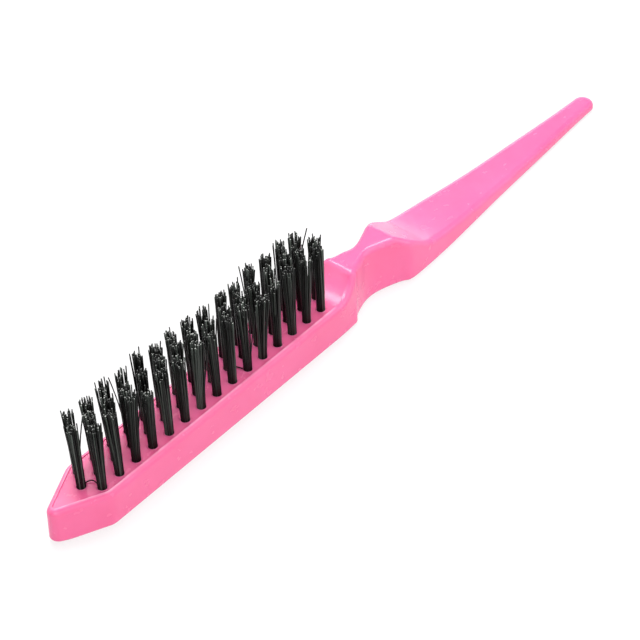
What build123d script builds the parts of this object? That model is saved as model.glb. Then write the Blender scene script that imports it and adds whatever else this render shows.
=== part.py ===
from build123d import *
import math
import os

# Teasing brush with a tail handle, lying on its back with the bristles up.
# +X runs from the nose of the head to the tip of the tail, +Z points along the bristles.
# The origin is under the middle of the brush, on the flat back that it lies on. All sizes in mm.

# ---- driving dimensions -------------------------------------------------------------------
overall_length = 225.0

# Stations along the brush, measured from the nose.
nose_cheek = 13.1          # corner between the nose's slanting sides and the head's long sides
turn_start = 96.0          # the head's walls begin to turn in towards the step
step_start = 98.0          # the rim begins to climb the step
shoulder = 104.0           # corner between the head and the neck, at the back
ridge = 105.8              # top of the step
shoulder_top = 108.0       # the shoulder corner again, level with the neck's top
waist = 114.0              # narrowest place of the neck
crest = 124.6              # top edge of the thumb stop
flare = 130.0              # widest place of the handle
slope_low = 134.5          # lower end of the thumb stop's straight slope
tail_start = 145.0         # the slope has run out into the tail here
tail_middle = 168.0
tail_far = 193.0

# Widths, all at the flat back except where said.
head_width = 16.2          # at the neck's end
head_front_width = 15.45   # at the nose's end
shoulder_width = 16.0
shoulder_top_width = 9.2   # level with the neck's top
waist_width = 8.3
flare_width = 17.2
tail_middle_width = 12.7
tail_far_width = 9.7
tail_end_width = 6.4

# Heights above the back.
rim_height = 10.4          # rim round the bristle field
field_depth = 0.35         # how far the field lies below the rim
neck_height = 14.4
slope_low_height = 8.2
tail_start_height = 6.0
tail_middle_height = 4.3
tail_far_height = 3.4
tail_end_height = 2.9

# Curves of the outline between those stations.
turn_sharpness = 1.6       # how quickly the head's walls turn in, against a straight turn
neck_entry = 4.1           # from the shoulder corner back to the middle of the neck's flank
neck_entry_share = 0.32    # how much of the way from waist to shoulder the flank still is there
neck_entry_slope = -1.55
neck_exit = 6.4            # from the waist back to where the walls open again
neck_exit_rise = 1.2
flare_entry = 125.2        # the walls round off into the widest place of the handle
flare_entry_drop = 1.2
field_end_taper = 1.4      # how far the rim's inner edge comes in at the shoulder
field_end_slope = -0.35

nose_lift = 0.9            # the back curves up to this height where the nose's outline starts
nose_lift_start = 5.0

# Draft: how much the walls lean in over the height of the neck.
side_draft = 1.55          # neck and tail, each wall
head_draft = 0.15          # head
nose_draft = 0.9           # nose
nose_radius = 2.1
nose_angle = math.radians(26)   # how far the nose's walls open from the centre line
tail_angle = math.radians(2)    # how far the tail's walls still close in at the tip

# Roundings.
back_round = 1.0           # edge round the back
top_round = 1.7            # outer edges on top
cheek_round = 5.0          # where the nose's slanting sides meet the head's long sides
corner_round = 1.6         # upright corners between head and neck
ridge_round = 2.6
crest_round = 3.0
rim_land = 1.35            # the rim's width, measured in from the outer wall
scoop_start = 96.7         # the field begins to rise into the scoop of the step
scoop_radius = 11.0

# Bristles.
tuft_pitch = 5.7
row_gap = 4.05
side_row_tufts = 15
middle_row_tufts = 16
first_side_tuft = 14.0     # station of the first tuft of each side row
tuft_diameter = 2.4
tuft_top_diameter = 3.1
tuft_length = 21.5         # of the longest bristles, above the field
field_foot_round = 0.25    # where the field meets the wall of the rim
fold_round = 0.8           # rounding of the folded end of a tuft
hole_depth = 6.0

# Flat wire anchors that hold the folded tufts in their holes.
anchor_width = 3.0
anchor_thickness = 0.35
anchor_height = 1.6
anchor_lift = 0.9          # folded bristles under the anchor

field_height = rim_height - field_depth
hole_floor = field_height - hole_depth
outside = 2.0              # how far cutting shapes reach past the handle
small = 0.1                # lengths under this count as nothing when edges are picked


def at(station):
    """X of a station measured from the nose."""
    return station - overall_length / 2


def smooth_corner(radius, angle):
    """Depth and half width of a rounded end whose walls open at an angle."""
    return radius * (1 - math.sin(angle)), radius * math.cos(angle)


def head_side(nose, front, end, cheek, side):
    """One side of the head in plan: slanting nose, rounded cheek and long side up to the turn.

    nose is where the rounded nose ends, front and end are half widths, cheek is the radius.
    """
    opening = (end - front) / (turn_start - nose_cheek)
    steepness = math.tan(nose_angle)
    gap = front - nose[1] + steepness * nose[0] - opening * at(nose_cheek)
    corner_x = gap / (steepness - opening)
    corner_y = nose[1] + steepness * (corner_x - nose[0])
    reach = cheek * math.tan((nose_angle - math.atan(opening)) / 2)
    start = (corner_x - reach * math.cos(nose_angle), corner_y - reach * math.sin(nose_angle))
    finish_x = corner_x + reach * math.cos(math.atan(opening))
    finish = (finish_x, corner_y + opening * (finish_x - corner_x))
    return [Line((nose[0], nose[1] * side), (start[0], start[1] * side)),
            TangentArc((start[0], start[1] * side), (finish[0], finish[1] * side),
                       tangent=(1, steepness * side)),
            Line((finish[0], finish[1] * side), (at(turn_start), end * side))]


def plan_face(height, inset, head_inset, nose_shift, corner, corner_half):
    """Outline of the handle seen from above, at one height.

    inset narrows neck and tail, head_inset narrows the head, nose_shift moves the nose back,
    and the corner between head and neck is at the given station and half width.
    """
    head = head_width / 2 - head_inset
    front = head_front_width / 2 - head_inset
    opening = (head - front) / (turn_start - nose_cheek)
    waist_half = waist_width / 2 - inset
    flare_half = flare_width / 2 - inset
    tip_half = (tail_end_width - inset) / 2
    nose_depth, nose_half = smooth_corner(nose_radius, nose_angle)
    tip_depth, _ = smooth_corner(tip_half / math.cos(tail_angle), tail_angle)
    nose = (at(nose_shift + nose_depth), nose_half)
    tip = (at(overall_length - tip_depth), tip_half)
    turn = turn_sharpness * (corner_half - head) / (corner - turn_start)
    neck_entry_half = waist_half + neck_entry_share * (corner_half - waist_half)

    def half(side):
        def spline(points, start, end):
            return Spline(*[(x, y * side) for x, y in points],
                          tangents=((1, start * side), (1, end * side)))
        return head_side(nose, front, head, cheek_round, side) + [
            spline([(at(turn_start), head), (at(corner), corner_half)], opening, turn),
            spline([(at(corner), corner_half),
                    (at(corner + neck_entry), neck_entry_half),
                    (at(waist), waist_half), (at(waist + neck_exit), waist_half + neck_exit_rise),
                    (at(flare_entry), flare_half - flare_entry_drop),
                    (at(flare), flare_half)], neck_entry_slope, 0),
            spline([(at(flare), flare_half), (at(tail_middle), (tail_middle_width - inset) / 2),
                    (at(tail_far), (tail_far_width - inset) / 2), tip], 0, -math.tan(tail_angle)),
        ]

    edges = half(1) + half(-1)
    edges.append(ThreePointArc((nose[0], -nose[1]), (at(nose_shift), 0), nose))
    edges.append(ThreePointArc(tip, (at(overall_length), 0), (tip[0], -tip[1])))
    return Plane.XY.offset(height) * make_face(Wire(edges))


def side_prism():
    """The handle's profile seen from the side, as a slab wider than the handle."""
    rise = neck_height - rim_height
    run = ridge - step_start
    radius = (run ** 2 + rise ** 2) / (2 * rise)
    half_turn = math.atan2(rise, run)
    middle = (at(step_start) + radius * math.sin(half_turn),
              rim_height + radius * (1 - math.cos(half_turn)))
    lift_height = nose_lift * ((nose_lift_start + outside) / nose_lift_start) ** 2
    with BuildSketch(Plane.XZ.offset(-head_width)) as profile:
        with BuildLine():
            Polyline((at(step_start), rim_height), (at(-outside), rim_height),
                     (at(-outside), lift_height))
            TangentArc((at(nose_lift_start), 0), (at(-outside), lift_height),
                       tangent=(-1, 0))
            Polyline((at(nose_lift_start), 0), (at(overall_length + outside), 0),
                     (at(overall_length + outside), tail_end_height))
            Spline((at(overall_length + outside), tail_end_height),
                   (at(tail_far), tail_far_height),
                   (at(tail_middle), tail_middle_height),
                   (at(tail_start), tail_start_height),
                   (at(slope_low), slope_low_height),
                   tangents=((-1, 0), (crest - slope_low, neck_height - slope_low_height)))
            Polyline((at(slope_low), slope_low_height), (at(crest), neck_height),
                     (at(ridge), neck_height))
            ThreePointArc((at(ridge), neck_height), middle, (at(step_start), rim_height))
        make_face()
        for station, radius in ((ridge, ridge_round), (crest, crest_round)):
            corner = profile.vertices().filter_by_position(Axis.X, at(station) - small,
                                                           at(station) + small)
            fillet(corner, radius)
    return extrude(profile.sketch, amount=2 * head_width)


def heights(edge):
    """Heights of five points along an edge."""
    return [(edge @ (quarter / 4)).Z for quarter in range(5)]


def top_edges(shape):
    """The outer edges on top, from the nose all the way round to the tip and back.

    Left out are the edges that run straight across the top and those that reach the back.
    """
    def on_top(edge):
        across = abs((edge @ 0).X - (edge @ 1).X) < small and abs((edge @ 0.5).Y) < small
        at_an_end = abs((edge @ 0.5).X) > overall_length / 2 - nose_radius
        return min(heights(edge)) > tail_end_height - small and (at_an_end or not across)
    return [edge for edge in shape.edges() if on_top(edge)]


def handle_blank():
    """Head, neck and tail with all their roundings, before the field is sunk."""
    bottom = plan_face(0, 0, 0, 0, shoulder, shoulder_width / 2)
    grow = (neck_height + outside) / neck_height
    lean = (shoulder_top - shoulder) * grow
    narrowing = (shoulder_width - shoulder_top_width) * grow
    top = plan_face(neck_height * grow, side_draft * grow, head_draft * grow, nose_draft * grow,
                    shoulder + lean, (shoulder_width - narrowing) / 2)
    walls = loft([bottom, top], ruled=True)
    corner_x = at(shoulder + lean / 2)
    corners = [edge for edge in walls.edges()
               if abs((edge @ 0.5).X - corner_x) < small and max(heights(edge)) > neck_height]
    walls = fillet(corners, corner_round)
    blank = walls & side_prism()
    back = [edge for edge in blank.edges()
            if max(heights(edge)) < nose_lift + small and (edge @ 0.5).Z < nose_lift / 2
            and abs((edge @ 0.5).Y) > small]
    blank = fillet(back, back_round)
    return fillet(top_edges(blank), top_round)


def field_cutter():
    """What is taken out above the bristle field, ending in the scoop of the step."""
    half = head_width / 2 - head_draft - rim_land
    front = head_front_width / 2 - head_draft - rim_land
    opening = (half - front) / (turn_start - nose_cheek)
    lift = rim_height / neck_height * nose_draft
    nose_depth, nose_half = smooth_corner(nose_radius - rim_land, nose_angle)
    nose = (at(lift + rim_land + nose_depth), nose_half)
    end = at(shoulder)
    end_half = half - field_end_taper
    edges = [ThreePointArc((nose[0], -nose[1]), (at(lift + rim_land), 0), nose),
             Line((end, end_half), (end, -end_half))]
    for side in (1, -1):
        edges += head_side(nose, front, half, cheek_round - rim_land, side)
        edges.append(Spline((at(turn_start), half * side), (end, end_half * side),
                            tangents=((1, opening * side), (1, field_end_slope * side))))
    inside = extrude(Plane.XY * make_face(Wire(edges)), amount=neck_height)
    bend = math.sqrt(0.5) * scoop_radius
    with BuildSketch(Plane.XZ.offset(-head_width)) as profile:
        with BuildLine():
            ThreePointArc((at(scoop_start), field_height),
                          (at(scoop_start) + bend, field_height + scoop_radius - bend),
                          (at(scoop_start) + scoop_radius, field_height + scoop_radius))
            Polyline((at(scoop_start) + scoop_radius, field_height + scoop_radius),
                     (at(-outside), field_height + scoop_radius), (at(-outside), field_height),
                     (at(scoop_start), field_height))
        make_face()
    return inside & extrude(profile.sketch, amount=2 * head_width)


def field_foot(shape):
    """The edges where the flat of the field meets the wall of the rim."""
    def on_foot(edge):
        flat = max(heights(edge)) < field_height + small and min(heights(edge)) > hole_floor
        scoop_line = abs((edge @ 0.5).Y) < small and (edge @ 0.5).X > at(turn_start)
        return flat and not scoop_line
    return [edge for edge in shape.edges() if on_foot(edge)]


def tuft_places():
    """Row name, number and place of every tuft; the middle row is half a pitch ahead."""
    places = []
    for number in range(middle_row_tufts):
        places.append(("middle", number + 1, at(first_side_tuft + (number - 0.5) * tuft_pitch), 0))
    for number in range(side_row_tufts):
        x = at(first_side_tuft + number * tuft_pitch)
        places.append(("front", number + 1, x, -row_gap))
        places.append(("back", number + 1, x, row_gap))
    return places


def anchor(x, y):
    """One flat wire anchor, standing on edge across the fold of its tuft."""
    lowest = hole_floor + anchor_lift
    return Pos(x, y, lowest + anchor_height / 2) * Box(anchor_width, anchor_thickness,
                                                       anchor_height)


def tuft_blank():
    """One bundle of bristles: a folded root as wide as its hole, opening towards the tips."""
    root = tuft_diameter / 2
    tip = tuft_top_diameter / 2
    bend = fold_round * (1 - math.sqrt(0.5))
    top = field_height + tuft_length
    with BuildSketch(Plane.XZ) as profile:
        with BuildLine():
            Polyline((root, hole_floor + fold_round), (root, field_height), (tip, top),
                     (0, top), (0, hole_floor), (root - fold_round, hole_floor))
            ThreePointArc((root - fold_round, hole_floor), (root - bend, hole_floor + bend),
                          (root, hole_floor + fold_round))
        make_face()
    return revolve(profile.sketch, Axis.Z)


def save(name, shape):
    """Writes one sub-part under its node's name."""
    shape.label = name
    export_step(shape, os.path.join("parts", name + ".step"))


os.makedirs("parts", exist_ok=True)
places = tuft_places()
anchors = [anchor(x, y) for _, _, x, y in places]

hole = Cylinder(tuft_diameter / 2, hole_depth + 1, align=(Align.CENTER, Align.CENTER, Align.MIN))
holes = [Pos(x, y, hole_floor) * hole for _, _, x, y in places]
handle = handle_blank() - field_cutter()
handle = fillet(field_foot(handle), field_foot_round) - holes - anchors
save("handle_body", handle.solid())

tuft = tuft_blank()
for (row, number, x, y), staple in zip(places, anchors):
    save(f"tuft_{row}_{number:02d}", (Pos(x, y, 0) * tuft - staple).solid())

save("tuft_anchors", Compound(children=anchors))
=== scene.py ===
"""Looks of a teasing brush with a tail handle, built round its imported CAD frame.

The units are metres. The handle and the wire anchors are the CAD's own; each tuft is replaced by
a bundle of single filaments.
"""
import math
import random

import bmesh
import bpy
from mathutils import Matrix, Vector


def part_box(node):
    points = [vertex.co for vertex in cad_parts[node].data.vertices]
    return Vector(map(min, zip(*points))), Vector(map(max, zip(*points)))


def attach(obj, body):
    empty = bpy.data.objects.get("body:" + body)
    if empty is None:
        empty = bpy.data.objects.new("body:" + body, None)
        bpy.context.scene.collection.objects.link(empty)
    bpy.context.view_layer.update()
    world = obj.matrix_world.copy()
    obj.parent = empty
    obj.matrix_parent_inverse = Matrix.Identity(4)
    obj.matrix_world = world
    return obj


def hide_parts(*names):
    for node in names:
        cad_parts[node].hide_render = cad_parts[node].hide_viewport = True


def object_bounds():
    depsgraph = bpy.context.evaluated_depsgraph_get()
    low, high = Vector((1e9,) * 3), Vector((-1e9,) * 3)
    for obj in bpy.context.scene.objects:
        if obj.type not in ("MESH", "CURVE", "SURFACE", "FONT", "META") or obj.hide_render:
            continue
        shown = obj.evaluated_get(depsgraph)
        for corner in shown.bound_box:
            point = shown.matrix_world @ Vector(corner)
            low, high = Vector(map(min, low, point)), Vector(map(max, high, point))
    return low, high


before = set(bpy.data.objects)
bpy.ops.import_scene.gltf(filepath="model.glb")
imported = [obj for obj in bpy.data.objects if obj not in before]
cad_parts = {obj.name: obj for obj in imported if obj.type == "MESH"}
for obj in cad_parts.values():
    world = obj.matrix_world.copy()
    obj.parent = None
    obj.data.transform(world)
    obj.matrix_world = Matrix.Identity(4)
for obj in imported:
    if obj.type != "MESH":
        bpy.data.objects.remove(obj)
cad_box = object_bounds()
MM = 0.001

# ---- camera and light ----------------------------------------------------------------------
VIEW_TARGET = Vector((-21.85, -6.35, 9.77)) * MM   # what the middle of the picture shows
VIEW_DISTANCE = 474.24 * MM
VIEW_AZIMUTH = math.radians(49.166)             # turn of the view from +Y towards +X
VIEW_ELEVATION = math.radians(41.148)
VIEW_ROLL = math.radians(-2.027)
LENS_MM = 104.56
SENSOR_MM = 36.0

# Brightness of the room by the sine of the height above the horizon.
SKY = ((0.0, 0.51), (0.35, 0.51), (0.55, 0.08), (0.75, 0.09), (0.90, 0.13))
SKY_TINT = (0.98, 1.0, 1.01)
LAMP_DISTANCE = 1.0
LAMP_SIZE = 0.6
# Soft boxes round the brush: turn from +Y towards +X and height, both in degrees, and watts.
LAMPS = {"key": (49, 68, 12.0), "right": (139, 30, 2.2), "right_high": (139, 60, 1.2),
         "left": (-41, 30, 1.6), "left_high": (-41, 60, 1.0), "behind_camera": (229, 30, 4.0),
         "near_right": (184, 30, 2.0), "top": (0, 90, 1.4), "far_left": (4, 28, 1.4),
         "low_back": (60, 6, 1.6)}

FLOOR_HALF_SIZE = 6.0
FLOOR_GAP = 0.05 * MM           # below the brush

# ---- bristles ------------------------------------------------------------------------------
FILAMENT_RADIUS = 0.16 * MM
FILAMENT_SIDES = 6
LIMBS_PER_HALF = 20             # each filament is folded once, so it has a limb on both sides
LIMB_SPACING = 1.03             # within a row, in filament widths
ROW_SPACING = 0.9               # between rows, as a share of that
FIRST_ROW = 0.22 * MM           # from the middle of the anchor to the nearest row of limbs
ROOT_JITTER = 0.02              # millimetres
ROOT_RADIUS = 1.18 * MM         # of the bundle, where it leaves its hole
HOLE_DEPTH = 6.0 * MM
FOLD_LIFT = 0.9 * MM            # of the anchor above the bottom of the hole
LENGTH_MEAN = 18.8 * MM
LENGTH_RISE = 1.6 * MM          # how much longer the last tufts before the neck are
LENGTH_SPREAD = 0.5 * MM        # from tuft to tuft
LENGTH_JITTER = 0.8 * MM        # from filament to filament
CUT_SLANT = 0.25                # slope of a tuft's trimmed top
TUFT_LEAN = 0.016               # sideways drift of a whole tuft, as a share of its height
WANDER = 0.013                  # the same for one limb
STRAY_WANDER = 0.05
STRAY_SHARE = 0.04
SPREAD = (0.28, 0.52)           # how far the limbs move apart, as a share of their place in the root
LIMB_SHARES = (0.0, 0.12, 0.28, 0.46, 0.64, 0.82, 1.0)     # heights of a limb's points
BEND_POWER = 1.5
FOLD_STEPS = 6
FULL_DROP = 0.9                 # share of the root's radius from which a fold reaches the floor
TIP_MARGIN = 0.1 * MM           # below the top of the CAD box
SEED = 7

# ---- details of the field --------------------------------------------------------------------
RIM_HEIGHT = 10.4 * MM          # crest of the rim round the bristle field
RIM_END = -14.5 * MM            # X where the rim begins to climb to the neck
COLLAR_SIDES = 24
COLLAR_UNEVEN = 0.5             # share of its height by which a ridge rises and falls
COLLAR_SINK = 0.04 * MM         # how far a ridge reaches into the plastic
COLLAR_PROFILE = ((1.19 * MM, 0.03 * MM), (1.28 * MM, 0.10 * MM), (1.40 * MM, 0.07 * MM),
                  (1.52 * MM, 0.0))    # radius and height of the ridge round a hole
STRAND_STEPS = 8


# ---- node helpers --------------------------------------------------------------------------
class Shader:
    """A new material, with short ways to add nodes and to join them up."""

    def __init__(self, name):
        self.material = bpy.data.materials.new(name)
        self.material.use_nodes = True
        self.tree = self.material.node_tree
        self.surface = self.tree.nodes["Principled BSDF"]
        place = self.add("ShaderNodeTexCoord")
        self.place = place.outputs["Object"]

    def add(self, kind, inputs=None, **settings):
        node = self.tree.nodes.new(kind)
        for key, value in settings.items():
            setattr(node, key, value)
        for key, value in (inputs or {}).items():
            self.feed(node, key, value)
        return node

    def feed(self, node, key, value):
        if isinstance(value, bpy.types.NodeSocket):
            self.tree.links.new(value, node.inputs[key])
        else:
            node.inputs[key].default_value = value

    def set(self, **inputs):
        for key, value in inputs.items():
            self.feed(self.surface, key.replace("_", " "), value)

    def noise(self, scale, detail, stretch=(1, 1, 1)):
        place = self.add("ShaderNodeMapping", {"Vector": self.place, "Scale": stretch})
        node = self.add("ShaderNodeTexNoise", {"Vector": place.outputs[0], "Scale": scale,
                                               "Detail": detail, "Roughness": 0.5})
        return node.outputs["Fac"]

    def remap(self, value, low, high, to_low=0.0, to_high=1.0):
        node = self.add("ShaderNodeMapRange", {"Value": value, "From Min": low, "From Max": high,
                                               "To Min": to_low, "To Max": to_high})
        return node.outputs[0]

    def blend(self, factor, first, second):
        node = self.add("ShaderNodeMix", data_type="RGBA", blend_type="MIX")
        self.feed(node, "Factor", factor)
        self.feed(node, 6, first)
        self.feed(node, 7, second)
        return node.outputs[2]

    def bump(self, height, strength, distance, normal=None):
        node = self.add("ShaderNodeBump", {"Height": height, "Strength": strength,
                                           "Distance": distance})
        if normal is not None:
            self.feed(node, "Normal", normal)
        return node.outputs[0]


# ---- materials -----------------------------------------------------------------------------
def rim_painted_highlight(s):
    """Mask of a painted highlight: the upward-facing crest of the rim round the bristle field, paled
    as if it caught the light.
    """
    split = s.add("ShaderNodeSeparateXYZ", {"Vector": s.place}).outputs
    normal = s.add("ShaderNodeNewGeometry").outputs["Normal"]
    tilt = s.add("ShaderNodeSeparateXYZ", {"Vector": normal}).outputs["Z"]
    mask = s.remap(split["Z"], RIM_HEIGHT - 0.30 * MM, RIM_HEIGHT - 0.08 * MM)
    patchy = s.remap(s.noise(260, 3), 0.35, 0.65, 0.35, 0.95)
    along = s.remap(split["X"], RIM_END, RIM_END - 4 * MM)
    for factor in (s.remap(tilt, 0.55, 0.9), along, patchy):
        mask = s.add("ShaderNodeMath", {0: mask, 1: factor}, operation="MULTIPLY").outputs[0]
    return mask


def moulded_pink():
    """Glossy pink plastic: cloudy pigment, a painted highlight along the rim's crest, a soft ripple
    from the mould, fine handling marks.
    """
    s = Shader("moulded_pink")
    cloud = s.remap(s.noise(55, 4), 0.3, 0.7)
    streak = s.remap(s.noise(40, 3, (0.25, 1.6, 1.6)), 0.35, 0.65)
    colour = s.blend(cloud, (0.76, 0.106, 0.262, 1), (0.79, 0.134, 0.306, 1))
    colour = s.blend(s.remap(streak, 0, 1, 0, 0.35), colour, (0.78, 0.115, 0.305, 1))
    # painted highlight: the rim's crest is blended towards a paler pink, as if lit
    colour = s.blend(rim_painted_highlight(s), colour, (0.82, 0.27, 0.45, 1))
    marks = s.remap(s.noise(500, 1, (0.06, 1, 1)), 0.45, 0.85)
    rough = s.remap(s.noise(300, 4), 0.3, 0.7, 0.20, 0.28)
    rough = s.add("ShaderNodeMath", {0: rough, 1: s.remap(marks, 0, 1, 0, 0.03)},
                  operation="ADD").outputs[0]
    ripple = s.bump(s.noise(110, 2), 0.25, 0.25 * MM)
    grain = s.bump(s.noise(1600, 2), 0.04, 0.03 * MM, ripple)
    s.set(Base_Color=colour, Roughness=rough, Normal=grain, Subsurface_Weight=0.18,
          Subsurface_Radius=(4.0 * MM, 1.2 * MM, 1.8 * MM), Subsurface_Scale=1.0,
          Specular_IOR_Level=0.5, IOR=1.49)
    return s.material


def bristle_nylon():
    """Near-black nylon; every filament has its own depth of colour and its own sheen."""
    s = Shader("bristle_nylon")
    shade = s.add("ShaderNodeAttribute", attribute_name="shade").outputs["Fac"]
    colour = s.blend(s.remap(shade, 0.6, 1.0), (0.003, 0.0035, 0.003, 1),
                     (0.075, 0.088, 0.077, 1))
    colour = s.blend(s.remap(s.noise(900, 2, (1, 1, 0.2)), 0.4, 0.7, 0, 0.4), colour,
                     (0.012, 0.011, 0.010, 1))
    rough = s.remap(shade, 0, 1, 0.28, 0.42)
    s.set(Base_Color=colour, Roughness=rough, Specular_IOR_Level=0.20, IOR=1.45,
          Normal=s.bump(s.noise(4000, 2, (1, 1, 0.1)), 0.15, 0.02 * MM))
    return s.material


def cut_end():
    """The trimmed ends: rough, and paler on a share of the filaments chosen at random."""
    s = Shader("bristle_cut_end")
    shade = s.add("ShaderNodeAttribute", attribute_name="shade").outputs["Fac"]
    pale = s.remap(shade, 0.55, 1.05)
    colour = s.blend(pale, (0.02, 0.022, 0.02, 1), (0.45, 0.46, 0.43, 1))
    s.set(Base_Color=colour, Roughness=s.remap(s.noise(5000, 2), 0.3, 0.7, 0.35, 0.6),
          Normal=s.bump(s.noise(9000, 3), 0.4, 0.02 * MM))
    return s.material


def anchor_wire():
    """Flat drawn steel wire with lengthwise drawing lines and duller patches."""
    s = Shader("anchor_wire")
    lines = s.noise(5000, 3, (0.05, 1, 1))
    dull = s.remap(s.noise(700, 3), 0.4, 0.65)
    colour = s.blend(dull, (0.62, 0.61, 0.58, 1), (0.42, 0.40, 0.37, 1))
    s.set(Base_Color=colour, Metallic=1.0, Roughness=s.remap(lines, 0.3, 0.7, 0.25, 0.45),
          Normal=s.bump(lines, 0.3, 0.02 * MM))
    return s.material


def studio_white():
    """Plain pale floor that glows a little, so that its shadows stay faint."""
    s = Shader("studio_white")
    tone = s.blend(s.noise(6, 2), (0.19, 0.19, 0.19, 1), (0.21, 0.21, 0.21, 1))
    s.set(Base_Color=tone, Roughness=0.6, Specular_IOR_Level=0.2, Emission_Color=(1, 1, 1, 1),
          Emission_Strength=0.74)
    return s.material


PINK = moulded_pink()
NYLON = bristle_nylon()
CUT = cut_end()
WIRE = anchor_wire()


def finish_piece(name, mesh_builder, materials, replaced=()):
    """Turns a bmesh into a piece that rides on the brush's one body."""
    mesh = bpy.data.meshes.new(name)
    mesh_builder.to_mesh(mesh)
    mesh_builder.free()
    for material in materials:
        mesh.materials.append(material)
    piece = bpy.data.objects.new(name, mesh)
    bpy.context.scene.collection.objects.link(piece)
    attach(piece, "root")
    if replaced:
        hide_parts(*replaced)


# ---- bristle tufts -------------------------------------------------------------------------
def tube(bm, shade_layer, path, radius, shade):
    """One filament: a round tube along a path, closed by a flat cut at each end."""
    rings = []
    side = Vector((1, 0, 0))
    for index, point in enumerate(path):
        ahead = path[min(index + 1, len(path) - 1)] - path[max(index - 1, 0)]
        ahead.normalize()
        side = (side - ahead * side.dot(ahead)).normalized()
        across = ahead.cross(side)
        ring = []
        for step in range(FILAMENT_SIDES):
            angle = math.tau * step / FILAMENT_SIDES
            ring.append(bm.verts.new(point + radius * (side * math.cos(angle)
                                                       + across * math.sin(angle))))
        rings.append(ring)
    for ring in rings:
        for vert in ring:
            vert[shade_layer] = shade
    for lower, upper in zip(rings, rings[1:]):
        for step in range(FILAMENT_SIDES):
            nxt = (step + 1) % FILAMENT_SIDES
            face = bm.faces.new((lower[step], lower[nxt], upper[nxt], upper[step]))
            face.smooth = True
    for ring, order in ((rings[0], -1), (rings[-1], 1)):
        cap = bm.faces.new(ring[::order])
        cap.material_index = 1


def limb_places(rng):
    """Places of the limbs on one side of the anchor, as a loose packing of half a disc."""
    places = []
    spacing = 2 * FILAMENT_RADIUS * LIMB_SPACING
    edge = ROOT_RADIUS - FILAMENT_RADIUS
    y = FIRST_ROW
    while y <= edge:
        half = math.sqrt(edge * edge - y * y)
        count = int(2 * half / spacing) + 1
        start = -(count - 1) * spacing / 2
        for index in range(count):
            places.append(Vector((start + index * spacing, y, 0)))
        y += spacing * ROW_SPACING
    rng.shuffle(places)
    return places[:LIMBS_PER_HALF]


def limb(rng, root, top_z, lean, spread):
    """Path of one limb from just above the anchor to its tip, outside the hole a gentle curve."""
    stray = rng.random() < STRAY_SHARE
    wander = Vector((rng.gauss(0, 1), rng.gauss(0, 1), 0)) * (STRAY_WANDER if stray else WANDER)
    height = top_z - field_z
    push = Vector((root.x, root.y, 0)) * spread
    points = []
    for share in LIMB_SHARES:
        bend = share ** BEND_POWER
        out = (lean + wander) * height * bend + push * share
        points.append(Vector((root.x, root.y, field_z)) + out + Vector((0, 0, height * share)))
    return points


def tuft(node, rng):
    """A bundle of folded filaments standing where the CAD tuft stands."""
    low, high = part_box(node)
    centre = Vector(((low.x + high.x) / 2, (low.y + high.y) / 2, 0))
    floor_z = low.z
    bm = bmesh.new()
    shade_layer = bm.verts.layers.float.new("shade")
    lean = Vector((rng.gauss(0, TUFT_LEAN), rng.gauss(0, TUFT_LEAN), 0))
    along = (centre.x - tuft_start) / (tuft_end - tuft_start)
    length = rng.gauss(LENGTH_MEAN + LENGTH_RISE * max(0.0, 2 * along - 1), LENGTH_SPREAD)
    slant = Vector((rng.gauss(0, CUT_SLANT), rng.gauss(0, CUT_SLANT), 0))
    spread = rng.uniform(*SPREAD)
    for place in limb_places(rng):
        paths = []
        for sign in (1, -1):
            root = Vector((place.x + rng.gauss(0, ROOT_JITTER) * MM, sign * place.y, 0))
            tip = field_z + length + rng.gauss(0, 1) * LENGTH_JITTER + slant.dot(root)
            tip = min(tip, cad_box[1].z - TIP_MARGIN)
            up = limb(rng, root, tip, lean, spread)
            down = [Vector((root.x, root.y, floor_z + FOLD_LIFT)),
                    Vector((root.x, root.y, (floor_z + FOLD_LIFT + field_z) / 2))]
            paths.append(down + up)
        drop = (FOLD_LIFT - FILAMENT_RADIUS) * min(1.0, place.y / (FULL_DROP * ROOT_RADIUS))
        fold = []
        for step in range(1, FOLD_STEPS):
            angle = math.pi * step / FOLD_STEPS
            fold.append(Vector((place.x, -place.y * math.cos(angle),
                                floor_z + FOLD_LIFT - drop * math.sin(angle))))
        path = paths[1][::-1] + fold + paths[0]
        tube(bm, shade_layer, [centre + point for point in path], FILAMENT_RADIUS,
             rng.random())
    finish_piece(node.replace("tuft_", "bristles_"), bm, (NYLON, CUT), (node,))


def hole_collars(nodes):
    """The low, slightly ragged ridge the drill pushed up round every hole of the field."""
    bm = bmesh.new()
    ripples = random.Random(SEED + 1)
    for node in nodes:
        low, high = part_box(node)
        centre = Vector(((low.x + high.x) / 2, (low.y + high.y) / 2, field_z))
        rings = []
        phase = ripples.uniform(0, math.tau)
        for radius, height in COLLAR_PROFILE:
            ring = []
            for step in range(COLLAR_SIDES):
                angle = math.tau * step / COLLAR_SIDES
                ripple = math.sin(3 * angle + phase) * math.sin(5 * angle)
                uneven = 1 + COLLAR_UNEVEN * ripple
                ring.append(bm.verts.new(centre + Vector((
                    radius * math.cos(angle), radius * math.sin(angle), height * uneven))))
            rings.append(ring)
        for inner, outer in zip(rings, rings[1:]):
            for step in range(COLLAR_SIDES):
                nxt = (step + 1) % COLLAR_SIDES
                face = bm.faces.new((inner[step], inner[nxt], outer[nxt], outer[step]))
                face.smooth = True
        sink = Vector((0, 0, COLLAR_SINK))
        foot_in = [bm.verts.new(vert.co - sink) for vert in rings[0]]
        foot_out = [bm.verts.new(vert.co - sink) for vert in rings[-1]]
        for first, second in ((rings[-1], foot_out), (foot_out, foot_in), (foot_in, rings[0])):
            for step in range(COLLAR_SIDES):
                nxt = (step + 1) % COLLAR_SIDES
                bm.faces.new((first[step], first[nxt], second[nxt], second[step]))
    bmesh.ops.recalc_face_normals(bm, faces=bm.faces)
    finish_piece("hole_collars", bm, (PINK,))


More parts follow.
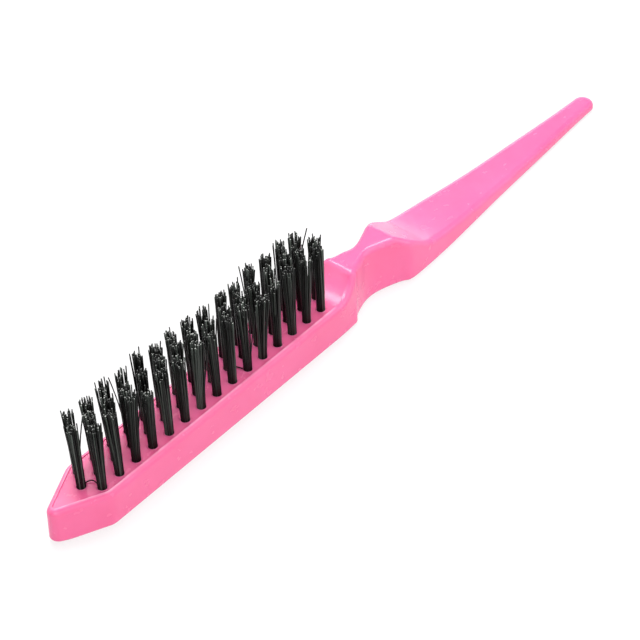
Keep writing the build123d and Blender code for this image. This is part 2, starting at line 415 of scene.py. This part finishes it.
def loose_strand(name, ends, sag, rise, shade):
    """A stray filament lying on the field, bowed sideways and lifted a little in the middle."""
    bm = bmesh.new()
    shade_layer = bm.verts.layers.float.new("shade")
    start, end = ends
    side = (end - start).cross(Vector((0, 0, 1))).normalized()
    path = []
    for step in range(STRAND_STEPS + 1):
        share = step / STRAND_STEPS
        bow = math.sin(math.pi * share)
        path.append(start.lerp(end, share) + side * sag * bow + Vector((0, 0, rise * bow)))
    tube(bm, shade_layer, path, FILAMENT_RADIUS, shade)
    finish_piece(name, bm, (NYLON, CUT))


def beside(node, turn, gap):
    """A place on the field just outside a tuft's hole, at an angle from +X."""
    low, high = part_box(node)
    turn = math.radians(turn)
    return Vector(((low.x + high.x) / 2 + gap * math.cos(turn),
                   (low.y + high.y) / 2 + gap * math.sin(turn), field_z + FILAMENT_RADIUS))


tuft_nodes = sorted(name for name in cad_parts
                    if name.startswith("tuft_") and name != "tuft_anchors")
field_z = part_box(tuft_nodes[0])[0].z + HOLE_DEPTH
tuft_start = min(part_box(node)[0].x for node in tuft_nodes)
tuft_end = max(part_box(node)[1].x for node in tuft_nodes)
rng = random.Random(SEED)
for node in tuft_nodes:
    tuft(node, rng)
hole_collars(tuft_nodes)
loose_strand("loose_loop", (beside("tuft_middle_01", -2, 1.25 * MM),
                            beside("tuft_front_01", 95, 1.3 * MM)), -0.6 * MM, 0.5 * MM, 0.3)
loose_strand("loose_end", (beside("tuft_middle_10", -35, 1.8 * MM),
                           beside("tuft_front_10", 134, 1.25 * MM)), 0.2 * MM, 0.2 * MM, 0.4)

# ---- carried-over CAD nodes ----------------------------------------------------------------
for node, material in (("handle_body", PINK), ("tuft_anchors", WIRE)):
    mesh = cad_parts[node].data
    mesh.materials.clear()
    mesh.materials.append(material)

# ---- floor, lights and camera --------------------------------------------------------------
bm = bmesh.new()
bmesh.ops.create_grid(bm, x_segments=8, y_segments=8, size=FLOOR_HALF_SIZE)
floor_mesh = bpy.data.meshes.new("floor")
bm.to_mesh(floor_mesh)
bm.free()
floor_mesh.materials.append(studio_white())
floor = bpy.data.objects.new("floor", floor_mesh)
bpy.context.scene.collection.objects.link(floor)
floor.location.z = -FLOOR_GAP


def studio_sky():
    """A pale room: a bright band round the horizon under a darker ceiling."""
    world = bpy.data.worlds.new("studio")
    world.use_nodes = True
    tree = world.node_tree
    place = tree.nodes.new("ShaderNodeTexCoord")
    split = tree.nodes.new("ShaderNodeSeparateXYZ")
    ramp = tree.nodes.new("ShaderNodeValToRGB")
    stops = ramp.color_ramp.elements
    while len(stops) < len(SKY):
        stops.new(1.0)
    for stop, (position, brightness) in zip(stops, SKY):
        stop.position = position
        stop.color = (*(brightness * tint for tint in SKY_TINT), 1)
    tree.links.new(place.outputs["Generated"], split.inputs[0])
    tree.links.new(split.outputs["Z"], ramp.inputs["Fac"])
    tree.links.new(ramp.outputs["Color"], tree.nodes["Background"].inputs["Color"])
    bpy.context.scene.world = world


studio_sky()


def soft_box(name, place, target, size, power):
    """A square area light that looks at its target."""
    data = bpy.data.lights.new(name, "AREA")
    data.size = size
    data.energy = power
    lamp = bpy.data.objects.new(name, data)
    bpy.context.scene.collection.objects.link(lamp)
    lamp.location = place
    lamp.rotation_euler = (target - place).to_track_quat("-Z", "Y").to_euler()


middle = (cad_box[0] + cad_box[1]) / 2
for name, (turn, height, power) in LAMPS.items():
    turn, height = math.radians(turn), math.radians(height)
    aim = Vector((math.sin(turn) * math.cos(height), math.cos(turn) * math.cos(height),
                  math.sin(height)))
    soft_box(name, middle + aim * LAMP_DISTANCE, middle, LAMP_SIZE, power)


def place_camera():
    """The camera looks along the stated direction, turned about it by the roll."""
    data = bpy.data.cameras.new("camera")
    data.lens = LENS_MM
    data.sensor_width = SENSOR_MM
    data.clip_start = 0.01
    data.clip_end = 50.0
    ahead = Vector((math.sin(VIEW_AZIMUTH) * math.cos(VIEW_ELEVATION),
                    math.cos(VIEW_AZIMUTH) * math.cos(VIEW_ELEVATION),
                    -math.sin(VIEW_ELEVATION)))
    right = Vector((math.cos(VIEW_AZIMUTH), -math.sin(VIEW_AZIMUTH), 0))
    up = right.cross(ahead)
    turned_right = math.cos(VIEW_ROLL) * right + math.sin(VIEW_ROLL) * up
    turned_up = math.cos(VIEW_ROLL) * up - math.sin(VIEW_ROLL) * right
    camera = bpy.data.objects.new("camera", data)
    bpy.context.scene.collection.objects.link(camera)
    axes = Matrix((turned_right, turned_up, -ahead)).transposed()
    camera.matrix_world = Matrix.LocRotScale(VIEW_TARGET - ahead * VIEW_DISTANCE,
                                             axes.to_quaternion(), None)
    bpy.context.scene.camera = camera


place_camera()
bpy.context.scene.view_settings.view_transform = "Standard"
